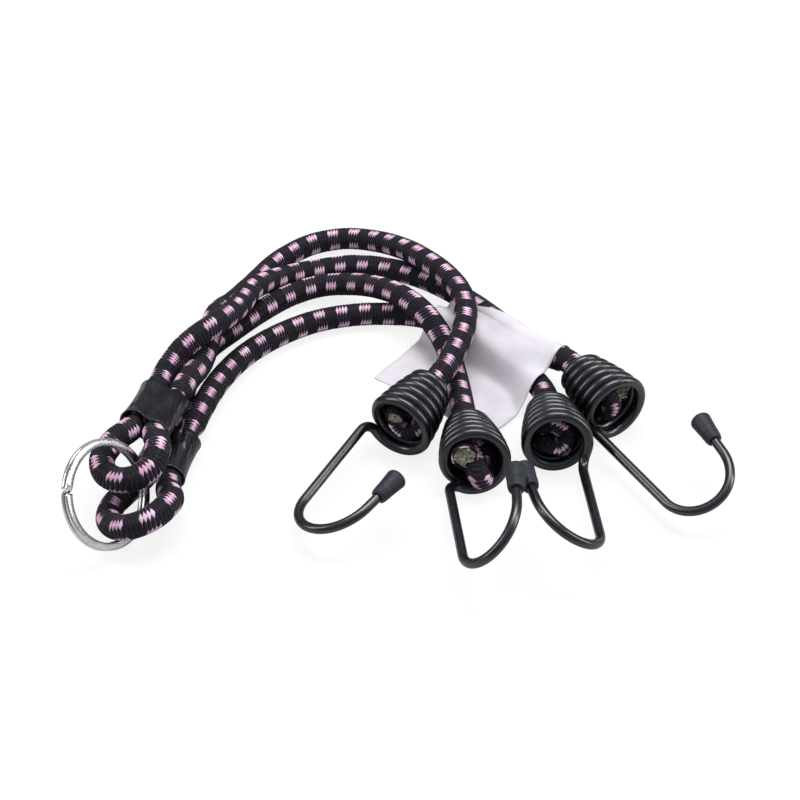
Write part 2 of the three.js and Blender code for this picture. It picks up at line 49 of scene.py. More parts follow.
CORD_DIAMETER = 0.008
PINCHED_DIAMETER = 0.006
SWELL_LENGTH = 0.0045
SLEEVE_LENGTH = 0.018
SLEEVE_LEAD = 0.003
SLEEVE_CLEARANCE = 0.0003
LEG_SPACING = 0.0078
SLEEVE_DIAMETER = 0.0096
SLEEVE_WALL = 0.0007
SLEEVE_HEADING = 78

RING_OUTER_RADIUS = 0.0172
RING_STRIP_WIDTH = 0.0024
RING_STRIP_THICKNESS = 0.0012
RING_COIL_GAP = 0.00045
RING_NOTCH_ANGLE = 140
RING_END_SETBACK = 2.5
RING_CROSSING = 4

WIRE_DIAMETER = 0.0031
COIL_WIRE_DIAMETER = 0.0034
HOOK_TURNS = 6
BELL_LENGTH = 0.0213
BELL_SMALL_RADIUS = 0.006
BELL_MOUTH_RADIUS = 0.0099
BELL_CURVE_SHARE = 1.6
NECK_BEND = 0.005
SHANK_LENGTH = 0.0346
BOWL_RADIUS = 0.0115
BOWL_ANGLE = 137.5
BOWL_HEADING = 163
FLARE_RADIUS = 0.0162
FLARE_ANGLE = 33
TIP_LENGTH = 0.0161

CAP_LENGTH = 0.011
CAP_COLLAR_DIAMETER = 0.0049
CAP_HEAD_DIAMETER = 0.0068

KNOT_STEM_START = 0.0195
KNOT_TAPER_LENGTH = 0.005

SLEEVE_PLACES = {
    "upper": {"centre": (-0.0802, -0.0009, 0.0150), "slope": -9.2},
    "lower": {"centre": (-0.0759, -0.0092, 0.0048), "slope": 0},
}
RING_CENTRE = (-0.0911, -0.0425, 0.0161)
RING_AZIMUTH = -28.2
RING_ELEVATION = 26.3
HOOK_PLACES = [
    {"mouth": (-0.0020, -0.0061, 0.0114), "azimuth": 240.1, "tilt": -4.7, "roll": 214.7},
    {"mouth": (0.0225, -0.0234, 0.0118), "azimuth": 275.1, "tilt": 9.6, "roll": 244.9},
    {"mouth": (0.0490, -0.0146, 0.0119), "azimuth": 273.1, "tilt": 9.7, "roll": 343.0},
    {"mouth": (0.0701, 0.0031, 0.0115), "azimuth": 301.3, "tilt": -2.0, "roll": 224.1},
]

# Routes of the cords, in millimetres, through the same points as the part's

ARM_ROUTES = [
    [
        (-73.6, 11.2, 12.5), (-71.9, 17.2, 12.1), (-68.8, 26.9, 10.8), (-67, 36.8, 11.5),
        (-66.4, 43.7, 12.5), (-65.2, 53.1, 12.2), (-60.7, 67.4, 7), (-55.6, 79.8, 4.4),
        (-44.7, 97.8, 4.2), (-33.1, 107.7, 4.2), (-20.8, 110.5, 4.5), (-10.7, 107, 5.8),
        (-1.2, 97.6, 9.5), (7.8, 84.5, 13.4), (15.1, 73.5, 14.7), (20, 62.7, 14.9),
        (21.5, 51.1, 14.6), (20.2, 40.8, 14.3), (17.6, 31.9, 14.2),
    ],
    [
        (-75.2, 13.4, 4.2), (-72.9, 30.7, 4.1), (-68.1, 44.2, 4.1), (-59.8, 55.2, 4.1),
        (-50.8, 65.8, 4.2), (-40.1, 75.2, 4.6), (-29.5, 79.4, 5.4), (-18.6, 77.8, 7.3),
        (-8.4, 71, 10.7), (0.3, 62.3, 12.8), (7.1, 54.3, 12.2), (11.8, 47.2, 9.9),
        (15.5, 38.4, 6.9), (17.7, 27.4, 5.3),
    ],
    [
        (-68.8, 5, 5), (-67, 12.2, 5), (-61.7, 28.7, 4.3), (-54.1, 41.7, 4.1), (-42.9, 52.7, 4.1),
        (-30.7, 60, 4.2), (-18.5, 63.5, 4.2), (-6.6, 64.4, 4.1), (5.8, 62.6, 4.3),
        (15.5, 57.7, 4.3), (25.9, 48.7, 4.2), (36.1, 37.8, 4.1), (43.5, 27.8, 4.6),
    ],
    [
        (-81.2, 13.5, 12.6), (-80.1, 18.4, 12.7), (-77.5, 24.5, 14.5), (-72.3, 30.4, 17.8),
        (-68.6, 33.3, 19.3), (-65, 36.8, 19.8), (-61.1, 42.9, 18.9), (-57.5, 53.5, 15.6),
        (-53, 70, 11.5), (-43.4, 84, 6), (-31.4, 90.8, 4.2), (-17.9, 93.4, 4.3), (-5, 91.4, 4.2),
        (6, 86.4, 4.2), (13.2, 80.3, 4.9), (20.9, 72.8, 5.2), (48.4, 34, 10.7),
    ],
]
ARM_STARTS = [("upper", 1), ("lower", -1), ("lower", 1), ("upper", -1)]
LOOP_ROUTES = {
    "upper": [
        (-91.6, -20.5, 18), (-94.2, -27.5, 17.1), (-92.4, -33.6, 16.6), (-87.4, -37.1, 17.1),
        (-81.6, -36.6, 18.2), (-77.7, -32.7, 19.5), (-76.7, -26.2, 20.1),
    ],
    "lower": [
        (-87.7, -30, 5.2), (-91, -35.3, 4.9), (-91.7, -41.2, 5.2), (-89.1, -47.2, 7.2),
        (-83.4, -50.1, 9.8), (-77.2, -48.2, 11.4), (-72.5, -40.8, 11), (-74.3, -29, 6),
    ],
}
# Each arm runs straight into its bell from this far before the joint with its knot
ENTRY_LEADS = (0.007, 0.007, 0.007, 0.003)
ENTRY_JOINT = 0.0026
JOINT_GAP = 0.0003
ROUTE_SAMPLES = 60

# The cover's weave: columns of short yarns round the cord, rows of them along it

ROW_LENGTH = 0.001
ROWS_PER_PERIOD = 8
PINK_ROWS = 4
PINK_COLUMNS = 4
SLANT_ROWS = 3
# A yarn is widest in the core of its column, and narrows to its edge, in shares of a row
MARK_CORE = 0.10
MARK_EDGE = 0.68
YARN_WIDEST = 0.5
YARN_NARROWEST = 0.02
RIB_DEPTH = 0.00036
RIB_OUTWARD_SHARE = 0.75
CORD_STEP = 0.00025
CORD_SIDES = 48

# How the marks lie on each cord: turn in degrees, twist in degrees for each metre,
# rows for each row length, and shift in metres
ARM_MARKS = [
    (63, -342, 0.915, 0.0027),
    (50, 78, 0.89, 0.006),
    (28, -117, 0.952, 0.0077),
    (45, -685, 0.922, 0.0018),
]
LOOP_MARKS = {"upper": (18, 274, 0.886, 0.0039), "lower": (69, -162, 0.973, 0.0037)}

# Camera, at the photograph's angle

CAMERA_EYE = (-0.0013, -0.4457, 0.3921)
CAMERA_TARGET = (-0.0013, 0.0216, 0.0)
CAMERA_ANGLE = 25.06


def aim(data, place, target):
    """A camera or lamp at a place, turned to the target."""
    made = bpy.data.objects.new(data.name, data)
    bpy.context.scene.collection.objects.link(made)
    made.location = place
    ahead = Vector(target) - Vector(place)
    made.rotation_euler = ahead.to_track_quat("-Z", "Y").to_euler()
    return made


def make_camera():
    data = bpy.data.cameras.new("camera")
    data.angle = math.radians(CAMERA_ANGLE)
    bpy.context.scene.camera = aim(data, CAMERA_EYE, CAMERA_TARGET)


make_camera()


# Node graphs

class Graph:
    """The nodes of a material or the world, written as sums."""

    def __init__(self, name, kind=bpy.data.materials, shader="Principled BSDF"):
        self.owner = kind.new(name)
        self.owner.use_nodes = True
        self.tree = self.owner.node_tree
        self.shader = self.tree.nodes[shader]

    def put(self, socket, value):
        if isinstance(value, bpy.types.NodeSocket):
            self.tree.links.new(value, socket)
        elif value is not None:
            socket.default_value = value

    def node(self, kind, inputs=(), output=0, **settings):
        made = self.tree.nodes.new(kind)
        for key, value in settings.items():
            setattr(made, key, value)
        for key, value in dict(inputs).items():
            self.put(made.inputs[key], value)
        return made.outputs[output]

    def math(self, operation, *values, clamp=False):
        inputs = dict(enumerate(values))
        return self.node("ShaderNodeMath", inputs, operation=operation, use_clamp=clamp)

    def ease(self, value, low, high, start=0.0, end=1.0):
        inputs = {"Value": value, "From Min": low, "From Max": high, "To Min": start, "To Max": end}
        return self.node("ShaderNodeMapRange", inputs, interpolation_type="SMOOTHSTEP")

    def mix(self, share, first, second):
        inputs = {0: share, 6: first, 7: second}
        return self.node("ShaderNodeMix", inputs, output=2, data_type="RGBA")

    def noise(self, scale, detail=2.0, vector=None):
        place = vector if vector is not None else self.node("ShaderNodeTexCoord", output=3)
        return self.node("ShaderNodeTexNoise", {"Vector": place, "Scale": scale, "Detail": detail})

    def tint(self, share, low, high, colours):
        """From the first colour at the low share to the second at the high one."""
        return self.mix(self.ease(share, low, high), *colours)

    def axis(self, vector, number):
        return self.node("ShaderNodeSeparateXYZ", {0: vector}, number)

    def bump(self, height, distance, strength=1.0, under=None):
        inputs = {"Height": height, "Distance": distance, "Strength": strength}
        if under is not None:
            inputs["Normal"] = under
        return self.node("ShaderNodeBump", inputs)

    def set(self, **values):
        for key, value in values.items():
            self.put(self.shader.inputs[key.replace("_", " ")], value)
        return self.owner


# Colours, the darker one first
BLACK_YARN = ((0.0060, 0.0046, 0.0078, 1), (0.026, 0.020, 0.031, 1))
# Painted shade: the dark colours in the grooves between the yarns
BLACK_GROOVE_PAINTED_SHADE = (0.002, 0.002, 0.0025, 1)
PINK_YARN = ((0.60, 0.33, 0.49, 1), (0.88, 0.63, 0.80, 1))
PINK_GROOVE_PAINTED_SHADE = (0.13, 0.035, 0.07, 1)
STRAND = ((0.20, 0.19, 0.13, 1), (0.60, 0.585, 0.46, 1))
STRAND_STAIN = (0.13, 0.12, 0.08, 1)
DIP_COAT = ((0.0024, 0.0028, 0.0044, 1), (0.0048, 0.0056, 0.0086, 1))
CAP_RUBBER = ((0.011, 0.012, 0.018, 1), (0.021, 0.023, 0.034, 1))
PLATE = ((0.70, 0.685, 0.67, 1), (0.82, 0.81, 0.80, 1))
SHRUNK_FILM = ((0.0028, 0.0030, 0.0046, 1), (0.0070, 0.0074, 0.0104, 1))
BARE_BAND = ((0.50, 0.51, 0.52, 1), (0.66, 0.67, 0.68, 1))
CORE_RUBBER = ((0.48, 0.45, 0.34, 1), (0.66, 0.62, 0.50, 1))
RIBBON = ((0.66, 0.62, 0.65, 1), (0.76, 0.72, 0.75, 1))


def cover_material():
    """Woven cover. The map named weave gives the turn round the cord and the way along it."""
    g = Graph("woven_cover")
    weave = g.node("ShaderNodeUVMap", uv_map="weave")
    u = g.axis(weave, 0)
    v = g.axis(weave, 1)
    column = g.math("ROUND", g.math("MULTIPLY", u, PINK_COLUMNS))
    aside = g.math("SUBTRACT", u, g.math("DIVIDE", column, PINK_COLUMNS))
    column = g.math("MODULO", column, PINK_COLUMNS)
    share = g.math("MULTIPLY", g.math("ABSOLUTE", aside), 2 * PINK_COLUMNS)
    lag = g.math("FRACT", g.math("MULTIPLY", column, SLANT_ROWS / PINK_COLUMNS))
    row = g.math("MULTIPLY", v, ROWS_PER_PERIOD)
    row = g.math("ADD", row, g.math("MULTIPLY", aside, SLANT_ROWS))
    row = g.math("ADD", row, lag)
    across = g.math("ABSOLUTE", g.math("SUBTRACT", g.math("FRACT", row), 0.5))
    width = g.ease(share, MARK_CORE, MARK_EDGE, YARN_WIDEST, YARN_NARROWEST)
    even = g.math("SUBTRACT", 1.0, g.math("DIVIDE", across, width))
    odd_width = g.math("SUBTRACT", 0.5, width)
    odd = g.math("SUBTRACT", 1.0, g.math("DIVIDE", g.math("SUBTRACT", 0.5, across), odd_width))
    number = g.math("FLOOR", row)
    row_in_period = g.math("FLOORED_MODULO", number, ROWS_PER_PERIOD)
    in_mark = g.math("LESS_THAN", row_in_period, PINK_ROWS - 0.5)
    on_even = g.math("GREATER_THAN", even, 0.0)
    pink = g.math("MULTIPLY", in_mark, on_even)
    crown = g.math("MAXIMUM", even, odd, clamp=True)
    crown = g.math("POWER", crown, 0.5)
    # Fibres are finer along the cord than round it
    fibre_u, fibre_v = g.math("MULTIPLY", u, 9.0), g.math("MULTIPLY", v, 90.0)
    fibre = g.noise(1.0, 3.0, g.node("ShaderNodeCombineXYZ", {0: fibre_u, 1: fibre_v}))
    tint_at = g.node("ShaderNodeCombineXYZ", {0: column, 1: number})
    tint = g.node("ShaderNodeTexWhiteNoise", {"Vector": tint_at}, noise_dimensions="3D")
    pink_light = g.math("ADD", g.math("MULTIPLY", tint, 0.35), g.math("MULTIPLY", fibre, 0.75))
    pink_face = g.tint(pink_light, 0.25, 0.85, PINK_YARN)
    # Painted shade: each yarn's colour, pink or black, darkens from its crown into the grooves
    # beside it
    pink_colour = g.tint(crown, 0.15, 0.62, (PINK_GROOVE_PAINTED_SHADE, pink_face))
    black_face = g.tint(fibre, 0.35, 0.7, BLACK_YARN)
    black_colour = g.tint(crown, 0.2, 0.9, (BLACK_GROOVE_PAINTED_SHADE, black_face))
    colour = g.mix(pink, black_colour, pink_colour)
    height = g.math("ADD", crown, g.math("MULTIPLY", fibre, 0.18))
    return g.set(
        Base_Color=colour,
        Roughness=0.65,
        Sheen_Weight=0.03,
        Sheen_Roughness=0.45,
        Specular_IOR_Level=0.22,
        Normal=g.bump(height, 0.0003, 0.9),
    )


def strand_material():
    """Cut rubber strands, each a little lighter or darker than the next."""
    g = Graph("cut_strands")
    tone = g.noise(900.0, 2.0)
    stain = g.noise(260.0, 1.0)
    face = g.tint(tone, 0.35, 0.68, STRAND)
    colour = g.mix(g.ease(stain, 0.42, 0.7, 0.0, 0.55), face, STRAND_STAIN)
    return g.set(Base_Color=colour, Roughness=0.7, Normal=g.bump(tone, 0.0002, 0.5))


def wire_material():
    """Black dip coat: glossy, with the faint waviness of a thick coat."""
    g = Graph("dipped_wire")
    wave = g.noise(110.0, 1.0)
    speck = g.noise(2600.0, 2.0)
    colour = g.tint(speck, 0.45, 0.75, DIP_COAT)
    rough = g.ease(wave, 0.3, 0.8, 0.26, 0.31)
    normal = g.bump(wave, 0.00010, 0.10)
    return g.set(Base_Color=colour, Roughness=rough, Specular_IOR_Level=0.8, Normal=normal)


def cap_material():
    """Matte rubber with a fine mould grain."""
    g = Graph("moulded_cap")
    grain = g.noise(2200.0, 4.0)
    wave = g.noise(420.0, 2.0)
    colour = g.tint(wave, 0.3, 0.75, CAP_RUBBER)
    rough = g.ease(grain, 0.3, 0.7, 0.48, 0.62)
    normal = g.bump(grain, 0.00003, 0.6)
    return g.set(Base_Color=colour, Roughness=rough, Specular_IOR_Level=0.4, Normal=normal)


def ring_material():
    """Bright plate with fine drawing marks along the strip."""
    g = Graph("bright_ring")
    along = g.node("ShaderNodeUVMap", uv_map="along")
    stretched = g.node("ShaderNodeMapping", {"Vector": along, "Scale": (40.0, 6.0, 1.0)})
    lines = g.noise(1.0, 3.0, stretched)
    haze = g.noise(180.0, 2.0)
    colour = g.tint(haze, 0.35, 0.75, PLATE)
    rough = g.ease(lines, 0.3, 0.8, 0.18, 0.26)
    normal = g.bump(haze, 0.00002, 0.10)
    return g.set(Base_Color=colour, Metallic=1.0, Roughness=rough, Normal=normal)


def sleeve_material():
    """Shrunk film, its creases running roughly along the sleeve."""
    g = Graph("shrunk_sleeve")
    place = g.node("ShaderNodeTexCoord", output=3)
    drawn = g.node("ShaderNodeMapping", {"Vector": place, "Scale": (330.0, 60.0, 330.0)})
    crease = g.noise(1.0, 2.0, drawn)
    wave = g.noise(150.0, 2.0)
    colour = g.tint(wave, 0.3, 0.75, SHRUNK_FILM)
    rough = g.ease(wave, 0.3, 0.75, 0.22, 0.38)
    normal = g.bump(crease, 0.0016, 0.9)
    normal = g.bump(wave, 0.0008, 0.4, normal)
    return g.set(Base_Color=colour, Roughness=rough, Specular_IOR_Level=0.5, Normal=normal)


def grain_material(name, scale, colours, depth, **look):
    """The same grain in the colour and in the surface."""
    g = Graph(name)
    grain = g.noise(scale, 3.0)
    colour = g.tint(grain, 0.3, 0.7, colours)
    return g.set(Base_Color=colour, Normal=g.bump(grain, depth, 0.5), **look)


def label_material():
    """Satin ribbon with a fine weave and a few soft marks from folding."""
    g = Graph("woven_label")
    flat = g.node("ShaderNodeUVMap", uv_map="along")
    threads = g.node("ShaderNodeMapping", {"Vector": flat, "Scale": (12000.0, 12000.0, 1.0)})
    warp = g.math("SINE", g.axis(threads, 0))
    weft = g.math("SINE", g.axis(threads, 1))
    cloth = g.math("MULTIPLY", warp, weft)
    shade = g.noise(90.0, 3.0)
    normal = g.bump(shade, 0.0015, 0.25)
    normal = g.bump(cloth, 0.00001, 0.25, normal)
    return g.set(
        Base_Color=g.tint(shade, 0.3, 0.75, RIBBON),
        Roughness=0.42,
        Sheen_Weight=0.2,
        Sheen_Roughness=0.4,
        Specular_IOR_Level=0.4,
        Normal=normal,
    )


COVER = cover_material()
STRANDS = strand_material()
WIRE = wire_material()
CAP = cap_material()
RING = ring_material()
SLEEVE = sleeve_material()
BAND = grain_material("crimped_band", 1500.0, BARE_BAND, 0.00002, Metallic=1.0, Roughness=0.38)
CORE = grain_material("rubber_core", 900.0, CORE_RUBBER, 0.0001, Roughness=0.75)
LABEL = label_material()


# Meshes

def metres(millimetres):
    return np.array(millimetres, float) / 1000


def smoothstep(t):
    return t * t * (3 - 2 * t)


def direction(azimuth, elevation=0):
    """Unit vector at angles in degrees, from +X toward +Y and up from the level."""
    azimuth, elevation = math.radians(azimuth), math.radians(elevation)
    return np.array((
        math.cos(azimuth) * math.cos(elevation),
        math.sin(azimuth) * math.cos(elevation),
        math.sin(elevation),
    ))


def piece(name, points, quads, material, maps=None, smooth=True):
    """A mesh object from points and faces, with a map of u and v for each face corner."""
    mesh = bpy.data.meshes.new(name)
    mesh.from_pydata([tuple(p) for p in points], [], [tuple(q) for q in quads])
    mesh.polygons.foreach_set("use_smooth", [smooth] * len(mesh.polygons))
    for key, corners in (maps or {}).items():
        layer = mesh.uv_layers.new(name=key)
        layer.data.foreach_set("uv", np.asarray(corners, np.float32).ravel())
    mesh.materials.append(material)
    mesh.update()
    made = bpy.data.objects.new(name, mesh)
    bpy.context.scene.collection.objects.link(made)
    return made


def lengths_along(route):
    """Distance of each point from the start, along the route."""
    return np.concatenate([[0], np.cumsum(np.linalg.norm(np.diff(route, axis=0), axis=1))])


def smooth_route(points, step):
    """Points every step along one smooth curve through the given points."""
    p = np.array(points, float)
    gaps = np.linalg.norm(np.diff(p, axis=0), axis=1)
    slopes = np.diff(p, axis=0) / gaps[:, None]
    tangents = np.empty_like(p)
    tangents[0], tangents[-1] = slopes[0], slopes[-1]
    before, after = gaps[:-1, None], gaps[1:, None]
    tangents[1:-1] = (slopes[:-1] * after + slopes[1:] * before) / (before + after)
    fine = []
    for i in range(len(gaps)):
        t = np.linspace(0, 1, ROUTE_SAMPLES, endpoint=False)[:, None]
        h = gaps[i]
        fine.append(
            (2 * t**3 - 3 * t**2 + 1) * p[i] + (t**3 - 2 * t**2 + t) * h * tangents[i]
            + (-2 * t**3 + 3 * t**2) * p[i + 1] + (t**3 - t**2) * h * tangents[i + 1]
        )
    fine = np.vstack(fine + [p[-1:]])
    lengths = lengths_along(fine)
    wanted = np.linspace(0, lengths[-1], max(2, round(lengths[-1] / step) + 1))
    return np.stack([np.interp(wanted, lengths, fine[:, k]) for k in range(3)], axis=1)


def frames_along(route):
    """Tangents, normals and sides, carried along the route without twist."""
    tangents = np.gradient(route, axis=0)
    tangents /= np.linalg.norm(tangents, axis=1)[:, None]
    is_level = abs(tangents[0][2]) < math.sqrt(0.5)
    reference = np.array((0.0, 0.0, 1.0) if is_level else (1.0, 0.0, 0.0))
    normal = np.cross(reference, tangents[0])
    normals = []
    for tangent in tangents:
        normal = normal - tangent * normal.dot(tangent)
        normal = normal / np.linalg.norm(normal)
        normals.append(normal)
    normals = np.array(normals)
    return tangents, normals, np.cross(tangents, normals)


def tube_faces(rings, sides):
    """Quads between the rings of a tube."""
    i, j = np.meshgrid(np.arange(rings - 1), np.arange(sides), indexing="ij")
    k = (j + 1) % sides
    here, ahead = i * sides, (i + 1) * sides
    return np.stack([here + j, here + k, ahead + k, ahead + j], axis=-1).reshape(-1, 4)


def tube_map(along, sides):
    """Corner map of a tube: u is the share of a turn, v is along."""
    i, j = np.meshgrid(np.arange(len(along) - 1), np.arange(sides), indexing="ij")
    u = np.stack([j, j + 1, j + 1, j], axis=-1) / sides
    v = np.stack([along[i], along[i], along[i + 1], along[i + 1]], axis=-1)
    return np.stack([u, v], axis=-1).reshape(-1, 2)


def rib_height(u, v):
    """Height of the weave, 0 in the grooves and 1 on the yarns, as the material draws it."""
    column = np.round(u * PINK_COLUMNS)
    aside = u - column / PINK_COLUMNS
    share = np.abs(aside) * 2 * PINK_COLUMNS
    lag = np.mod(np.mod(column, PINK_COLUMNS) * SLANT_ROWS / PINK_COLUMNS, 1)
    row = v * ROWS_PER_PERIOD + aside * SLANT_ROWS + lag
    across = np.abs(np.mod(row, 1) - 0.5)
    t = np.clip((share - MARK_CORE) / (MARK_EDGE - MARK_CORE), 0, 1)
    width = YARN_WIDEST - (YARN_WIDEST - YARN_NARROWEST) * smoothstep(t)
    even = 1 - across / width
    odd = 1 - (0.5 - across) / (0.5 - width + 1e-9)
    return np.sqrt(np.clip(np.maximum(even, odd), 0, 1))


def tube_points(route, normals, across, angle, reach):
    """Points round each place of the route, at angles and distances from it."""
    return (
        route[:, None, :]
        + normals[:, None, :] * (np.cos(angle) * reach)[:, :, None]
        + across[:, None, :] * (np.sin(angle) * reach)[:, :, None]
    ).reshape(-1, 3)


def tube_piece(name, points, sides, centres, material, map_name, along):
    """A tube with a fan over each end. Its map has the share of a turn as u and along as v."""
    count, last = len(points), len(points) - sides
    faces = list(tube_faces(len(along), sides))
    for j in range(sides):
        k = (j + 1) % sides
        faces += [(count, k, j), (count + 1, last + j, last + k)]
    corners = np.vstack([tube_map(along, sides), np.zeros((6 * sides, 2))])
    return piece(name, np.vstack([points, centres]), faces, material, {map_name: corners})


def cover_tube(name, route, radii, marks, cup=0.0):
    """A woven cover along the route, its yarns standing up from the surface.

    A cup is the depth to which its cut end is hollow.
    """
    tangents, normals, sides = frames_along(route)
    turn, twist, rows, shift = marks
    lengths = lengths_along(route)
    period = ROW_LENGTH * ROWS_PER_PERIOD
    along = (lengths * rows + shift) / period
    u = np.arange(CORD_SIDES) / CORD_SIDES
    angle = 2 * math.pi * u[None, :] + np.radians(turn + twist * lengths[:, None])
    height = rib_height(np.broadcast_to(u, (len(route), CORD_SIDES)), along[:, None])
    reach = radii[:, None] - RIB_DEPTH * (RIB_OUTWARD_SHARE - height)
    if cup:
        inner = np.full((2, CORD_SIDES), radii[-1] - CUT_COVER_WALL)
        route = np.vstack([route, route[-1:], route[-1:] - tangents[-1:] * cup])
        normals, sides = (np.vstack([v, v[-1:], v[-1:]]) for v in (normals, sides))
        reach = np.vstack([reach, inner])
        along = np.concatenate([along, along[-1:], along[-1:] + cup / period])
        angle = np.vstack([angle, angle[-1:], angle[-1:]])
    points = tube_points(route, normals, sides, angle, reach)
    centres = [route[0], route[-1]]
    return tube_piece(name, points, CORD_SIDES, centres, COVER, "weave", along)


def round_tube(name, route, radii, sides, material):
    """A plain round tube along the route."""
    _, normals, across = frames_along(route)
    angle = 2 * math.pi * np.arange(sides) / sides
    points = tube_points(route, normals, across, angle[None, :], radii[:, None])
    centres = [route[0], route[-1]]
    return tube_piece(name, points, sides, centres, material, "along", lengths_along(route))


# Cords: their legs in the sleeves, the arms and the loops round the ring


def sleeve_basis(place):
    """Centre of a sleeve, and its directions: along to the arms, to the right and up."""
    along = direction(SLEEVE_HEADING, place["slope"])
    ahead = direction(SLEEVE_HEADING)
    side = np.array((ahead[1], -ahead[0], 0.0))
    return np.array(place["centre"]), along, side, np.cross(side, along)


def leg_points(level, sign, distances):
    """Points on a leg of cord in a sleeve, at distances along from the sleeve's centre."""
    centre, along, side, _ = sleeve_basis(SLEEVE_PLACES[level])
    return [centre + side * sign * LEG_SPACING / 2 + along * d for d in distances]


def swollen_radii(distances):
    """The cord is pinched in its sleeve and swells outside it."""
    share = smoothstep(np.clip((distances - SLEEVE_LENGTH / 2) / SWELL_LENGTH, 0, 1))
    return (PINCHED_DIAMETER + (CORD_DIAMETER - PINCHED_DIAMETER) * share) / 2


def hook_basis(place):
    """Centre of a bell's mouth, two directions across it and the one out of it."""
    turn = math.radians(place["roll"])
    axis = direction(place["azimuth"], place["tilt"])
    level = direction(place["azimuth"] + 90)
    up = np.cross(axis, level)
    first = level * math.cos(turn) + up * math.sin(turn)
    return np.array(place["mouth"]), first, np.cross(axis, first), axis


def hook_point(place, local):
    """Points given in a hook's own frame, in the object's frame."""
    mouth, first, second, axis = hook_basis(place)
    local = np.asarray(local, float)
    return mouth + local[..., 0:1] * first + local[..., 1:2] * second + local[..., 2:3] * axis


def arm_points(index):
    """Points that an arm runs through, from its sleeve to its knot."""
    level, side = ARM_STARTS[index]
    outside = SLEEVE_LENGTH / 2 + SLEEVE_CLEARANCE
    start = leg_points(level, side, [JOINT_GAP / 2, outside, outside + SLEEVE_LEAD])
    joint = BELL_LENGTH + ENTRY_JOINT + JOINT_GAP
    depths = [joint + ENTRY_LEADS[index], joint, KNOT_STEM_START + JOINT_GAP]
    entry = hook_point(HOOK_PLACES[index], [(0, 0, -depth) for depth in depths])
    return [*start, *metres(ARM_ROUTES[index]), *entry]


def make_arm(index):
    number = index + 1
    route = smooth_route(arm_points(index), CORD_STEP)
    lengths = lengths_along(route)
    arm = cover_tube(f"arm_{number}_cord", route, swollen_radii(lengths), ARM_MARKS[index])
    nodes = [f"arm_{number}_{part}" for part in ("base_sheath", "base_core", "sheath", "core")]
    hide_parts(*nodes)
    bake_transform(arm)
    return route


def make_loop(level):
    outside = -(SLEEVE_LENGTH / 2 + SLEEVE_CLEARANCE)
    ends = [-JOINT_GAP / 2, outside, outside - SLEEVE_LEAD]
    path = [
        *leg_points(level, -1, ends),
        *metres(LOOP_ROUTES[level]),
        *reversed(leg_points(level, 1, ends)),
    ]
    route = smooth_route(path, CORD_STEP)
    lengths = lengths_along(route)
    radii = swollen_radii(np.minimum(lengths, lengths[-1] - lengths))
    loop = cover_tube(f"loop_{level}_cord", route, radii, LOOP_MARKS[level])
    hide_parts(f"loop_{level}_sheath", f"loop_{level}_core")
    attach(loop, "root")


ARM_PATHS = [make_arm(index) for index in range(len(HOOK_PLACES))]
for level in SLEEVE_PLACES:
    make_loop(level)


# Knots: the end of each cord, curled in the bell

STRAND_RINGS = 3
STRAND_SIDES = 8
STRAND_PITCH_SHARE = 0.245
STRAND_RADIUS_SHARE = 0.135
STRAND_TIP_SHARE = 0.72
STRAND_ROOT = -0.0024
STRAND_LOWEST = -0.0008
STRAND_HIGHEST = 0.0002
# A strand strays from its place by a twelfth of the pitch
STRAND_STRAY_DIVISOR = 12
CUT_CUP_DEPTH = 0.0012
CUT_COVER_WALL = 0.0004

# Radius of the cord where a knot's form gives no other
KNOT_RADIUS = 0.0031
# Points in millimetres to the right, up and out of the bell's mouth, as the camera sees it. The
# knot starts on the bell's axis at KNOT_STEM_START below the mouth.
KNOTS = [
    {
        "marks": (78, 0, 1, 0.0015),
        "points": [
            (0.8, 1, -14.5), (4, 1.8, -9.5), (4.6, -2.4, -6.5), (1.6, -5, -4.8),
            (-2.8, -4.2, -5.2), (-4.6, -0.4, -6.8), (-3, 1.8, -5), (-2.3, 1.5, -1.8),
        ],
    },
    {
        "radius": 0.0037, "end_radius": 0.0043,
        "marks": (84, 0, 1, 0.0005),
        "points": [
            (-2, -1, -13.5), (-2.6, 1.2, -8.2), (0, -0.8, -3), (1.2, -4.4, 0.2),
            (2.4, -6.4, -0.8), (3.4, -6, -5), (3, -1, -10), (-1, 2.8, -11), (-3.4, 3.2, -6.2),
            (-3.4, 2.5, 0.4),
        ],
    },
    {
        "marks": (6, 0, 1, 0.0070),
        "points": [
            (-0.8, -0.6, -14.5), (-3.6, 0.6, -9.5), (-0.8, 3.8, -6.8), (3.4, 1, -5),
            (1.2, -3, -4.2), (-2.8, -2.6, -5), (-3, -4.4, -9.2), (0.6, -4.6, -10),
            (2.4, -4.8, -7.2), (2.7, -5.2, -4.4),
        ],
    },
    {
        "marks": (48, 0, 1, 0.0045),
        "points": [
            (-1.8, 1.8, -13.5), (-3.2, 4, -8.2), (-1.8, 3.6, -4.4), (-0.6, 0.5, -2.9),
            (-1.2, -3.2, -4.2), (-0.4, -4.6, -8), (3, -3, -10.5), (4.6, 0.8, -8.5),
            (4.3, 2.4, -4),
        ],
    },
]


def bell_points(place, points):
    """Points given to the right, up and out of a bell's mouth, in the object's frame."""
    mouth, _, _, axis = hook_basis(place)
    right = np.array((1.0, 0.0, 0.0)) - axis * axis[0]
    right /= np.linalg.norm(right)
    up = np.cross(axis, right)
    up = up if up[2] > 0 else -up
    return mouth + points[:, 0:1] * right + points[:, 1:2] * up + points[:, 2:3] * axis


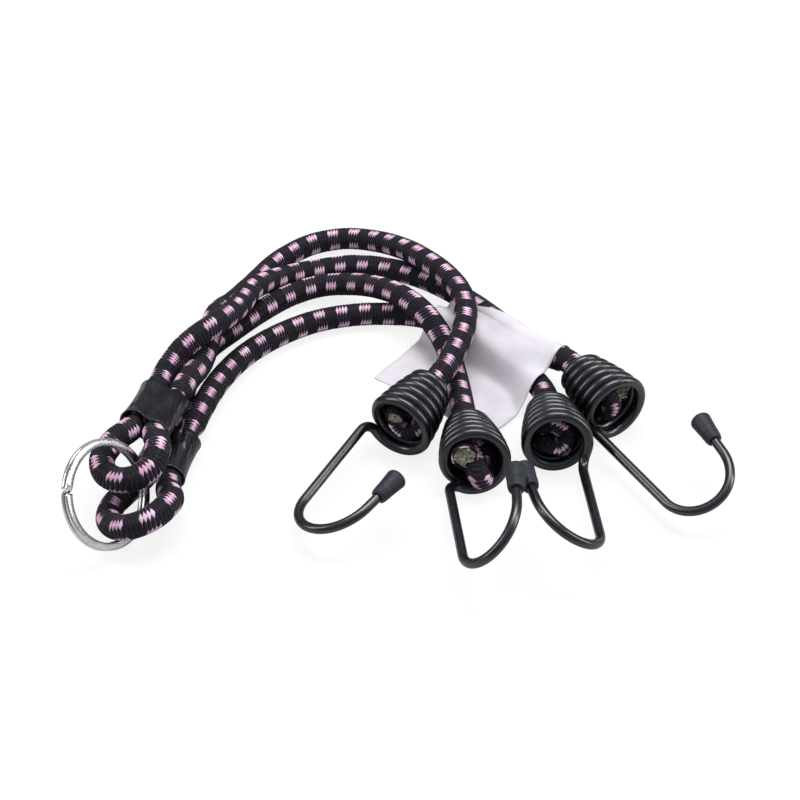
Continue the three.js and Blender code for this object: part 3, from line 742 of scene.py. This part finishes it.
def make_strands(number, route, radius):
    """The cut end: a bundle of round strands, each cut at its own height."""
    tangents, normals, across = frames_along(route)
    end, tangent, first, second = route[-1], tangents[-1], normals[-1], across[-1]
    random = np.random.default_rng(number)
    pitch, width = radius * STRAND_PITCH_SHARE, radius * STRAND_RADIUS_SHARE
    stray = pitch / STRAND_STRAY_DIVISOR
    sides = STRAND_SIDES
    points, faces = [], []
    for q in range(-STRAND_RINGS, STRAND_RINGS + 1):
        for r in range(-STRAND_RINGS, STRAND_RINGS + 1):
            if abs(q + r) > STRAND_RINGS:
                continue
            x, y = pitch * (q + r / 2), pitch * r * math.sqrt(3) / 2
            x, y = x + random.normal(0, stray), y + random.normal(0, stray)
            height = random.uniform(STRAND_LOWEST, STRAND_HIGHEST)
            rings = ((STRAND_ROOT, 1.0), (height, 1.0), (height + width / 3, STRAND_TIP_SHARE))
            for level, share in rings:
                for j in range(sides):
                    angle = 2 * math.pi * j / sides
                    spoke = first * (x + math.cos(angle) * width * share)
                    spoke = spoke + second * (y + math.sin(angle) * width * share)
                    points.append(end + spoke + tangent * level)
            base = len(points) - len(rings) * sides
            faces += list(tube_faces(len(rings), sides) + base)
            faces.append(range(len(points) - sides, len(points)))
            faces.append(range(base + sides - 1, base - 1, -1))
    strands = piece(f"knot_{number}_strands", points, faces, STRANDS)
    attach(strands, f"end_{number}")


def make_knot(index):
    """The end of an arm's cord, thinner where it is pulled tight, and the strands in its cut."""
    number = index + 1
    knot_form = KNOTS[index]
    radius = knot_form.get("radius", KNOT_RADIUS)
    end_radius = knot_form.get("end_radius", KNOT_RADIUS)
    points = np.vstack([(0, 0, -KNOT_STEM_START), metres(knot_form["points"])])
    route = smooth_route(bell_points(HOOK_PLACES[index], points), CORD_STEP)
    lengths = lengths_along(route)
    taper = np.clip(lengths / KNOT_TAPER_LENGTH, 0, 1)
    radii = CORD_DIAMETER / 2 + (radius - CORD_DIAMETER / 2) * taper
    near_end = np.clip(1 - (lengths[-1] - lengths) / KNOT_TAPER_LENGTH, 0, 1)
    radii = radii + (end_radius - radii) * near_end
    knot = cover_tube(f"knot_{number}_cord", route, radii, knot_form["marks"], cup=CUT_CUP_DEPTH)
    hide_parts(f"knot_{number}_sheath", f"knot_{number}_core")
    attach(knot, f"end_{number}")
    make_strands(number, route, end_radius)


for index in range(len(HOOK_PLACES)):
    make_knot(index)


# Hooks

COIL_STEPS_PER_TURN = 56
NECK_STEPS = 16
SHANK_STEPS = 20
BOWL_STEPS = 48
FLARE_STEPS = 14
TIP_STEPS = 6
WIRE_SIDES = 18
# The coat thins from the coil's to the shank's over this many steps past the coil
COAT_FADE_STEPS = 16
WIRE_START_RADIUS = WIRE_DIAMETER / 3


def arc_from(start, ahead, inward, radius, degrees, steps):
    """An arc without its start, and the directions ahead and inward at its end."""
    centre = start + inward * radius
    angle = np.radians(degrees) * np.arange(1, steps + 1)[:, None] / steps
    arc = centre - inward * radius * np.cos(angle) + ahead * radius * np.sin(angle)
    turn = math.radians(degrees)
    return (
        arc,
        ahead * math.cos(turn) + inward * math.sin(turn),
        inward * math.cos(turn) - ahead * math.sin(turn),
    )


def hook_route():
    """The wire's line in the hook's own frame, its length in the coil, and the cap's place."""
    steps = HOOK_TURNS * COIL_STEPS_PER_TURN
    share = np.arange(steps + 1) / steps
    angle = (1 - share) * HOOK_TURNS * 2 * math.pi
    widened = 1 - (1 - share) ** BELL_CURVE_SHARE
    radius = BELL_SMALL_RADIUS + (BELL_MOUTH_RADIUS - BELL_SMALL_RADIUS) * widened
    depth = BELL_LENGTH * (1 - share)
    coil = np.stack([radius * np.cos(angle), radius * np.sin(angle), -depth], axis=1)
    out = np.array((0.0, 0.0, 1.0))
    neck, _, _ = arc_from(coil[-1], np.array((0.0, -1.0, 0.0)), out, NECK_BEND, 90, NECK_STEPS)
    shank = neck[-1] + out * np.linspace(0, SHANK_LENGTH, SHANK_STEPS)[1:, None]
    across = direction(BOWL_HEADING)
    bowl, ahead, inward = arc_from(shank[-1], out, across, BOWL_RADIUS, BOWL_ANGLE, BOWL_STEPS)
    flare, ahead, _ = arc_from(bowl[-1], ahead, inward, FLARE_RADIUS, FLARE_ANGLE, FLARE_STEPS)
    collar = flare[-1] + ahead * (TIP_LENGTH - CAP_LENGTH)
    tip = flare[-1] + ahead * np.linspace(0, TIP_LENGTH - CAP_LENGTH / 2, TIP_STEPS)[1:, None]
    route = np.vstack([coil, neck, shank, bowl, flare, tip])
    return route, steps, collar, ahead


HOOK_ROUTE, COIL_STEPS, CAP_PLACE, CAP_AHEAD = hook_route()


def make_hook(index):
    number = index + 1
    place = HOOK_PLACES[index]
    # The coat is thickest in the coil, where it fills the space between turns
    beyond = np.clip((np.arange(len(HOOK_ROUTE)) - COIL_STEPS) / COAT_FADE_STEPS, 0, 1)
    radii = (COIL_WIRE_DIAMETER + (WIRE_DIAMETER - COIL_WIRE_DIAMETER) * beyond) / 2
    radii[0] = WIRE_START_RADIUS
    route = hook_point(place, HOOK_ROUTE)
    wire = round_tube(f"hook_{number}_wire", route, radii, WIRE_SIDES, WIRE)
    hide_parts(f"hook_wire_{number}")
    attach(wire, f"hook_{number}")
    make_cap(number, place)


CAP_SIDES = 40
CAP_RIDGES = 3
CAP_RIDGE_PITCH = 0.0009
CAP_RIDGE_DEPTH = 0.00012
CAP_RIDGE_STEPS = 6
CAP_RIDGES_START = 0.0006
CAP_RIM = 0.0003
CAP_EDGE = 0.0016
CAP_EDGE_STEPS = 8
CAP_CROWN = 0.0005


def cap_profile():
    """Radius and distance from the collar's rim, from the bore over the rim to the cap's crown."""
    collar, head = CAP_COLLAR_DIAMETER / 2, CAP_HEAD_DIAMETER / 2
    flare_end = CAP_LENGTH - head / 2
    profile = [
        (WIRE_DIAMETER / 2, 0.0),
        (collar - CAP_RIM, 0.0),
        (collar - CAP_RIM / 4, CAP_RIM / 3),
        (collar, CAP_RIM),
    ]
    for i in range(CAP_RIDGES * CAP_RIDGE_STEPS + 1):
        at = CAP_RIDGES_START + i * CAP_RIDGE_PITCH / CAP_RIDGE_STEPS
        swell = CAP_RIDGE_DEPTH * (1 - math.cos(2 * math.pi * i / CAP_RIDGE_STEPS)) / 2
        profile.append((collar + (head - collar) * at / flare_end + swell, at))
    start = CAP_RIDGES_START + CAP_RIDGES * CAP_RIDGE_PITCH
    for share in (0.2, 0.4, 0.6, 0.8, 0.95):
        at = start + (CAP_LENGTH - CAP_EDGE - start) * share
        profile.append((collar + (head - collar) * min(1, at / flare_end), at))
    for i in range(1, CAP_EDGE_STEPS + 1):
        angle = math.pi / 2 * i / CAP_EDGE_STEPS
        at = CAP_LENGTH - CAP_CROWN - CAP_EDGE * (1 - math.sin(angle))
        profile.append((head - CAP_EDGE * (1 - math.cos(angle)), at))
    for share in (0.75, 0.5, 0.25, 0.0):
        profile.append(((head - CAP_EDGE) * share, CAP_LENGTH - CAP_CROWN * share * share))
    return profile


def make_cap(number, place):
    first = np.array(Vector(CAP_AHEAD).orthogonal().normalized())
    second = np.cross(CAP_AHEAD, first)
    sides = CAP_SIDES
    points = []
    profile = cap_profile()
    for radius, at in profile[:-1]:
        for j in range(sides):
            angle = 2 * math.pi * j / sides
            spoke = first * math.cos(angle) + second * math.sin(angle)
            points.append(CAP_PLACE + CAP_AHEAD * at + spoke * radius)
    points.append(CAP_PLACE + CAP_AHEAD * profile[-1][1])
    top = len(points) - 1
    last = top - sides
    faces = list(tube_faces(len(profile) - 1, sides))
    faces += [(top, last + j, last + (j + 1) % sides) for j in range(sides)]
    faces.append(range(sides - 1, -1, -1))
    cap = piece(f"hook_{number}_cap", hook_point(place, np.array(points)), faces, CAP)
    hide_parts(f"tip_cap_{number}")
    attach(cap, f"hook_{number}")


for index in range(len(HOOK_PLACES)):
    make_hook(index)


# Split ring

RING_CORNER_RADIUS = 0.00032
RING_CORNER_ANGLES = (0, 30, 60, 90)
RING_STEPS = 288
RING_TURNED = 720 - 2 * RING_END_SETBACK


def strip_section():
    """The strip's corners, rounded, as distances out from its middle and along the ring's axis."""
    corner = RING_CORNER_RADIUS
    out, high = RING_STRIP_WIDTH / 2 - corner, RING_STRIP_THICKNESS / 2 - corner
    section = []
    for sx, sz, start in ((1, 1, 0), (-1, 1, 90), (-1, -1, 180), (1, -1, 270)):
        for step in RING_CORNER_ANGLES:
            a = math.radians(start + step)
            section.append((sx * out + corner * math.cos(a), sz * high + corner * math.sin(a)))
    return section


def make_ring():
    """Two turns of strip, which change places where the second starts."""
    normal = direction(RING_AZIMUTH, RING_ELEVATION)
    level = direction(RING_AZIMUTH + 90)
    steep = np.cross(normal, level)
    section = strip_section()
    middle = RING_OUTER_RADIUS - RING_STRIP_WIDTH / 2
    offset = (RING_STRIP_THICKNESS + RING_COIL_GAP) / 2
    points, along = [], []
    for i in range(RING_STEPS + 1):
        turned = RING_END_SETBACK + RING_TURNED * i / RING_STEPS
        crossed = min(1, max(0, (turned - 360 + RING_CROSSING) / (2 * RING_CROSSING)))
        shift = offset - 2 * offset * smoothstep(crossed)
        angle = math.radians(RING_NOTCH_ANGLE + turned)
        spoke = level * math.cos(angle) + steep * math.sin(angle)
        for out, high in reversed(section):
            points.append(np.array(RING_CENTRE) + spoke * (middle + out) + normal * (shift + high))
        along.append(math.radians(turned) * middle)
    sides = len(section)
    centres = [np.mean(points[:sides], axis=0), np.mean(points[-sides:], axis=0)]
    along = np.array(along)
    ring = tube_piece("split_ring_strip", points, sides, centres, RING, "along", along)
    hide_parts("split_ring")
    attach(ring, "ring")


make_ring()


# Sleeves

SLEEVE_SIDES = 96
SLEEVE_STEPS = 32
SLEEVE_BORE_STEPS = 12
SLEEVE_VALLEY = 0.0004
# Share of the valley that is left at the sleeve's ends
SLEEVE_END_SHARE = 0.45
SLEEVE_VALLEY_WIDTH_SHARE = 0.62
# Below 1 it makes the outline squarer
SLEEVE_ROUND_POWER = 0.82
SLEEVE_FLARE = 0.00035
SLEEVE_FLARE_REACH = 0.0016
SLEEVE_LIP = 0.00022
SLEEVE_PINCH = 0.00022
# Where the left and the right half end along the sleeve, each at the loop and at the arms
SLEEVE_ENDS = {
    "upper": ((-0.0098, 0.0098), (-0.0142, 0.0054)),
    "lower": ((-0.0098, 0.0060), (-0.0124, 0.0050)),
}


def sleeve_outline(radius, valley):
    """Closed outline over two legs side by side, drawn in between them."""
    half = LEG_SPACING / 2
    outline = []
    for i in range(SLEEVE_SIDES):
        a = 2 * math.pi * i / SLEEVE_SIDES
        x = (half + radius) * math.copysign(abs(math.cos(a)) ** SLEEVE_ROUND_POWER, math.cos(a))
        over = max(0.0, abs(x) - half)
        height = math.sqrt(max(0.0, radius * radius - over * over))
        dip = valley * math.exp(-((x / (half * SLEEVE_VALLEY_WIDTH_SHARE)) ** 2))
        outline.append((x, math.copysign(max(0.0, height - dip), math.sin(a))))
    return outline


def sleeve_stations():
    """Stations round a sleeve's wall: outside, round the lip and back in the bore.

    Each has its share of the way from the loop's end to the arms', the reach past the end, the
    radius and the valley between the legs.
    """
    radius = SLEEVE_DIAMETER / 2
    inner = radius - SLEEVE_WALL
    lip_valley = SLEEVE_VALLEY * SLEEVE_END_SHARE
    stations = []
    for i in range(SLEEVE_STEPS + 1):
        share = i / SLEEVE_STEPS
        near_end = math.exp(-min(share, 1 - share) * SLEEVE_LENGTH / SLEEVE_FLARE_REACH)
        bulge = math.sin(math.pi * share)
        outer = radius + SLEEVE_FLARE * near_end - SLEEVE_PINCH * bulge ** 2
        valley = SLEEVE_VALLEY * (SLEEVE_END_SHARE + (1 - SLEEVE_END_SHARE) * bulge)
        stations.append((share, 0, outer, valley))
    outer_end = stations[-1][2]
    lip_radius = (outer_end + inner) / 2 + SLEEVE_LIP / 2
    stations.append((1, SLEEVE_LIP, lip_radius, lip_valley))
    stations.append((1, 0, inner + SLEEVE_LIP, lip_valley))
    for i in range(1, SLEEVE_BORE_STEPS):
        stations.append((1 - i / SLEEVE_BORE_STEPS, 0, inner, 0))
    stations.append((0, 0, inner + SLEEVE_LIP, lip_valley))
    stations.append((0, -SLEEVE_LIP, lip_radius, lip_valley))
    return stations


def make_sleeve(level):
    centre, along, side, up = sleeve_basis(SLEEVE_PLACES[level])
    stations = sleeve_stations()
    left, right = SLEEVE_ENDS[level]
    points = []
    for share, beyond, radius, valley in stations:
        for x, z in sleeve_outline(radius, valley):
            to_right = smoothstep(min(1, max(0, (x / (LEG_SPACING / 2) + 1) / 2)))
            start = left[0] + (right[0] - left[0]) * to_right
            end = left[1] + (right[1] - left[1]) * to_right
            at = start + (end - start) * share + beyond
            point = centre + along * at + side * x + up * z
            # The flare stays above the table
            point[2] = max(point[2], 0)
            points.append(point)
    # The last ring meets the first
    faces = tube_faces(len(stations) + 1, SLEEVE_SIDES)[:, [0, 3, 2, 1]] % len(points)
    sleeve = piece(f"sleeve_{level}_tube", points, faces, SLEEVE)
    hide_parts(f"sleeve_{level}")
    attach(sleeve, "root")


for level in SLEEVE_PLACES:
    make_sleeve(level)


# Care label, folded round arm 4, its flap over arm 3

TAG_THICKNESS = 0.0003
TAG_WRAP_GAP = 0.00055
TAG_HUMP_GAP = 0.0011
TAG_REST_GAP = 0.00035
# The fold runs on past the arm's last bend toward the bell
TAG_FOLD_REACH = 0.007
TAG_LEFT_FLAP = 0.047
TAG_RIGHT_FLAP = 0.034
TAG_LEFT_HEADING = -127
TAG_RIGHT_HEADING = -131
TAG_OVERLAP_ANGLE = 320
# The wrap opens toward the left end, where the arm shows above the fold
TAG_SHARES = (0, 0.2, 0.5, 0.64)
TAG_WRAP_ANGLES = (44, 46, 130, TAG_OVERLAP_ANGLE)
TAG_LEAVE_ANGLES = (34, 36, 52, 55)
TAG_HUMP_SLOPE = 60
TAG_DROP_SHARE = 0.19
TAG_WAVE = 0.0005
TAG_CORNER_LIFT = 0.0016
TAG_SMOOTHING_PASSES = 3
TAG_SMOOTHING_SINK = 0.00005
TAG_STATIONS = 49
TAG_WRAP_STEPS = 22
TAG_FLAP_STEPS = 64


def flap_heights(places, below):
    """Height of the flap at each place: on the table, or humped over the arm below it."""
    radius = CORD_DIAMETER / 2 + TAG_HUMP_GAP + TAG_THICKNESS / 2
    leave_angle = math.radians(TAG_HUMP_SLOPE)
    leave = radius * math.sin(leave_angle)
    offsets = places[:, None, :2] - below[None, :, :2]
    distance = np.linalg.norm(offsets, axis=2)
    over = np.sqrt(np.clip(radius**2 - distance**2, 0, None))
    off = radius * math.cos(leave_angle) - (distance - leave) * math.tan(leave_angle)
    rise = np.where(distance < leave, over, off) + below[None, :, 2]
    return np.maximum(rise.max(axis=1), TAG_REST_GAP)


def label_middle():
    """Middle of the label's thickness, in rows from the wrap's end to the flap's."""
    carrier = ARM_PATHS[3]
    tangents, _, _ = frames_along(carrier)
    last_bend, fold_start_point = arm_points(3)[-4], arm_points(3)[-5]
    fold_start = np.linalg.norm(carrier - fold_start_point, axis=1).argmin()
    fold_end = np.linalg.norm(carrier - last_bend, axis=1).argmin()
    fold_end += round(TAG_FOLD_REACH / CORD_STEP)
    below = ARM_PATHS[2][::4]
    radius = CORD_DIAMETER / 2 + TAG_WRAP_GAP
    middle = []
    for i in range(TAG_STATIONS):
        share = i / (TAG_STATIONS - 1)
        at = round(fold_start + (fold_end - fold_start) * share)
        centre, along = carrier[at], tangents[at]
        forward = direction(TAG_LEFT_HEADING + (TAG_RIGHT_HEADING - TAG_LEFT_HEADING) * share)
        across = forward - along * forward.dot(along)
        across /= np.linalg.norm(across)
        up = np.cross(across, along)
        up = up if up[2] > 0 else -up
        wrap_angle = np.interp(share, TAG_SHARES, TAG_WRAP_ANGLES)
        leave_angle = np.interp(share, TAG_SHARES, TAG_LEAVE_ANGLES)
        angles = np.radians(np.linspace(wrap_angle, leave_angle, TAG_WRAP_STEPS))[:, None]
        wrap = centre + across * radius * np.cos(angles) + up * radius * np.sin(angles)
        reach = TAG_LEFT_FLAP + (TAG_RIGHT_FLAP - TAG_LEFT_FLAP) * share
        t = np.arange(1, TAG_FLAP_STEPS + 1) / TAG_FLAP_STEPS
        flap = wrap[-1] + forward * reach * t[:, None]
        drop = smoothstep(np.clip(t / TAG_DROP_SHARE, 0, 1))
        # A wave in the ribbon, and a corner that lifts a little off the table
        wave = TAG_WAVE * np.sin(t * 9 + share * 5) ** 2 + TAG_CORNER_LIFT * (share * t) ** 5
        flap[:, 2] = wrap[-1][2] * (1 - drop) + (flap_heights(flap, below) + wave) * drop
        middle.append(np.vstack([wrap, flap]))
    middle = np.array(middle)
    for _ in range(TAG_SMOOTHING_PASSES):
        inner = middle[:, TAG_WRAP_STEPS:-1]
        neighbours = (middle[:, TAG_WRAP_STEPS - 1:-2] + middle[:, TAG_WRAP_STEPS + 1:]) / 2
        lifted = np.maximum(neighbours[:, :, 2], inner[:, :, 2] - TAG_SMOOTHING_SINK)
        middle[:, TAG_WRAP_STEPS:-1, 2] = lifted
    return middle


def make_label():
    middle = label_middle()
    normals = np.cross(np.gradient(middle, axis=0), np.gradient(middle, axis=1))
    normals /= np.linalg.norm(normals, axis=2)[:, :, None]
    rows, columns = middle.shape[:2]
    points = np.vstack([
        (middle + normals * TAG_THICKNESS / 2).reshape(-1, 3),
        (middle - normals * TAG_THICKNESS / 2).reshape(-1, 3),
    ])
    lower = rows * columns
    n = np.arange(lower).reshape(rows, columns)
    upper_faces = np.stack([n[:-1, :-1], n[1:, :-1], n[1:, 1:], n[:-1, 1:]], axis=-1)
    lower_faces = upper_faces[:, :, [0, 3, 2, 1]] + lower
    faces = list(np.stack([upper_faces, lower_faces], axis=2).reshape(-1, 4))
    rim = [*n[:, 0], *n[-1, 1:], *n[-2::-1, -1], *n[0, -2:0:-1]]
    for a, b in zip(rim, rim[1:] + rim[:1]):
        faces.append((a, a + lower, b + lower, b))
    width = np.linalg.norm(np.diff(middle[:, TAG_WRAP_STEPS], axis=0), axis=1).sum()
    length = np.linalg.norm(np.diff(middle, axis=1), axis=2).sum(axis=1).max()
    across, down = width / (rows - 1), length / (columns - 1)
    spread = [(i * across, j * down) for i in range(rows) for j in range(columns)]
    corners = [spread[v % lower] for face in faces for v in face]
    label = piece("care_label", points, faces, LABEL, {"along": corners})
    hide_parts("tag")
    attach(label, "root")


make_label()


# The part's own nodes get a finish, whether they show or a piece above stands for them

def finish_nodes():
    for name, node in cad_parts.items():
        material = BAND if name.startswith("crimp_band") else CORE
        for slot in node.material_slots:
            slot.material = material
        if not node.material_slots:
            node.data.materials.append(material)


finish_nodes()


# Floor, world and lamps

FLOOR_SIZE = 6.0
FLOOR_DROP = 0.0001
FLOOR_SHADOW_SHARE = 0.16
# The camera sees the floor lighter than the object does
FLOOR_TONE = (0.52, 0.52, 0.52, 1)
FLOOR_SEEN_TONE = (0.95, 0.95, 0.95, 1)
WORLD_LOW = (0.10, 0.10, 0.105, 1)
WORLD_TOP = (0.42, 0.44, 0.52, 1)
WORLD_TOP_HEIGHT = 0.85
WHITE = (1, 1, 1, 1)


def make_floor():
    g = Graph("white_floor")
    seen = g.node("ShaderNodeLightPath", output=0)
    tone = g.mix(seen, FLOOR_TONE, FLOOR_SEEN_TONE)
    g.set(Base_Color=tone, Roughness=0.95, Specular_IOR_Level=0.1)
    output = g.tree.nodes["Material Output"]
    light = g.node("ShaderNodeEmission", {"Color": WHITE, "Strength": 1.0})
    share = g.math("MULTIPLY", seen, 1 - FLOOR_SHADOW_SHARE)
    mixed = g.node("ShaderNodeMixShader", {0: share, 1: g.shader.outputs[0], 2: light})
    g.put(output.inputs["Surface"], mixed)
    half = FLOOR_SIZE / 2
    corners = [(-half, -half, 0), (half, -half, 0), (half, half, 0), (-half, half, 0)]
    floor = piece("floor", corners, [(0, 1, 2, 3)], g.owner, smooth=False)
    floor.location.z = -FLOOR_DROP


def make_world():
    """White to the camera, and to the object a room that is lighter above."""
    g = Graph("world", bpy.data.worlds, "Background")
    height = g.axis(g.node("ShaderNodeTexCoord"), 2)
    room = g.node("ShaderNodeValToRGB", {0: height})
    bottom, top = room.node.color_ramp.elements
    bottom.position, bottom.color = 0.0, WORLD_LOW
    top.position, top.color = WORLD_TOP_HEIGHT, WORLD_TOP
    seen = g.node("ShaderNodeLightPath")
    bpy.context.scene.world = g.set(Color=g.mix(seen, room, WHITE), Strength=1.0)


LAMP_TARGET = (0, 0.02, 0)
LAMPS = [
    # Name, place, size, power in watts
    ("overhead", (0.10, 0.30, 1.05), (0.85, 0.42), 9.5),
    ("left", (-0.95, -0.05, 0.60), (0.22, 0.9), 5.0),
    ("right", (1.00, 0.0, 0.52), (0.22, 0.9), 5.6),
]


def make_lamps():
    for name, place, size, power in LAMPS:
        data = bpy.data.lights.new(name, "AREA")
        data.shape = "RECTANGLE"
        data.size, data.size_y = size
        data.energy = power
        aim(data, place, LAMP_TARGET)


make_floor()
make_world()
make_lamps()
bpy.context.scene.view_settings.view_transform = "Standard"
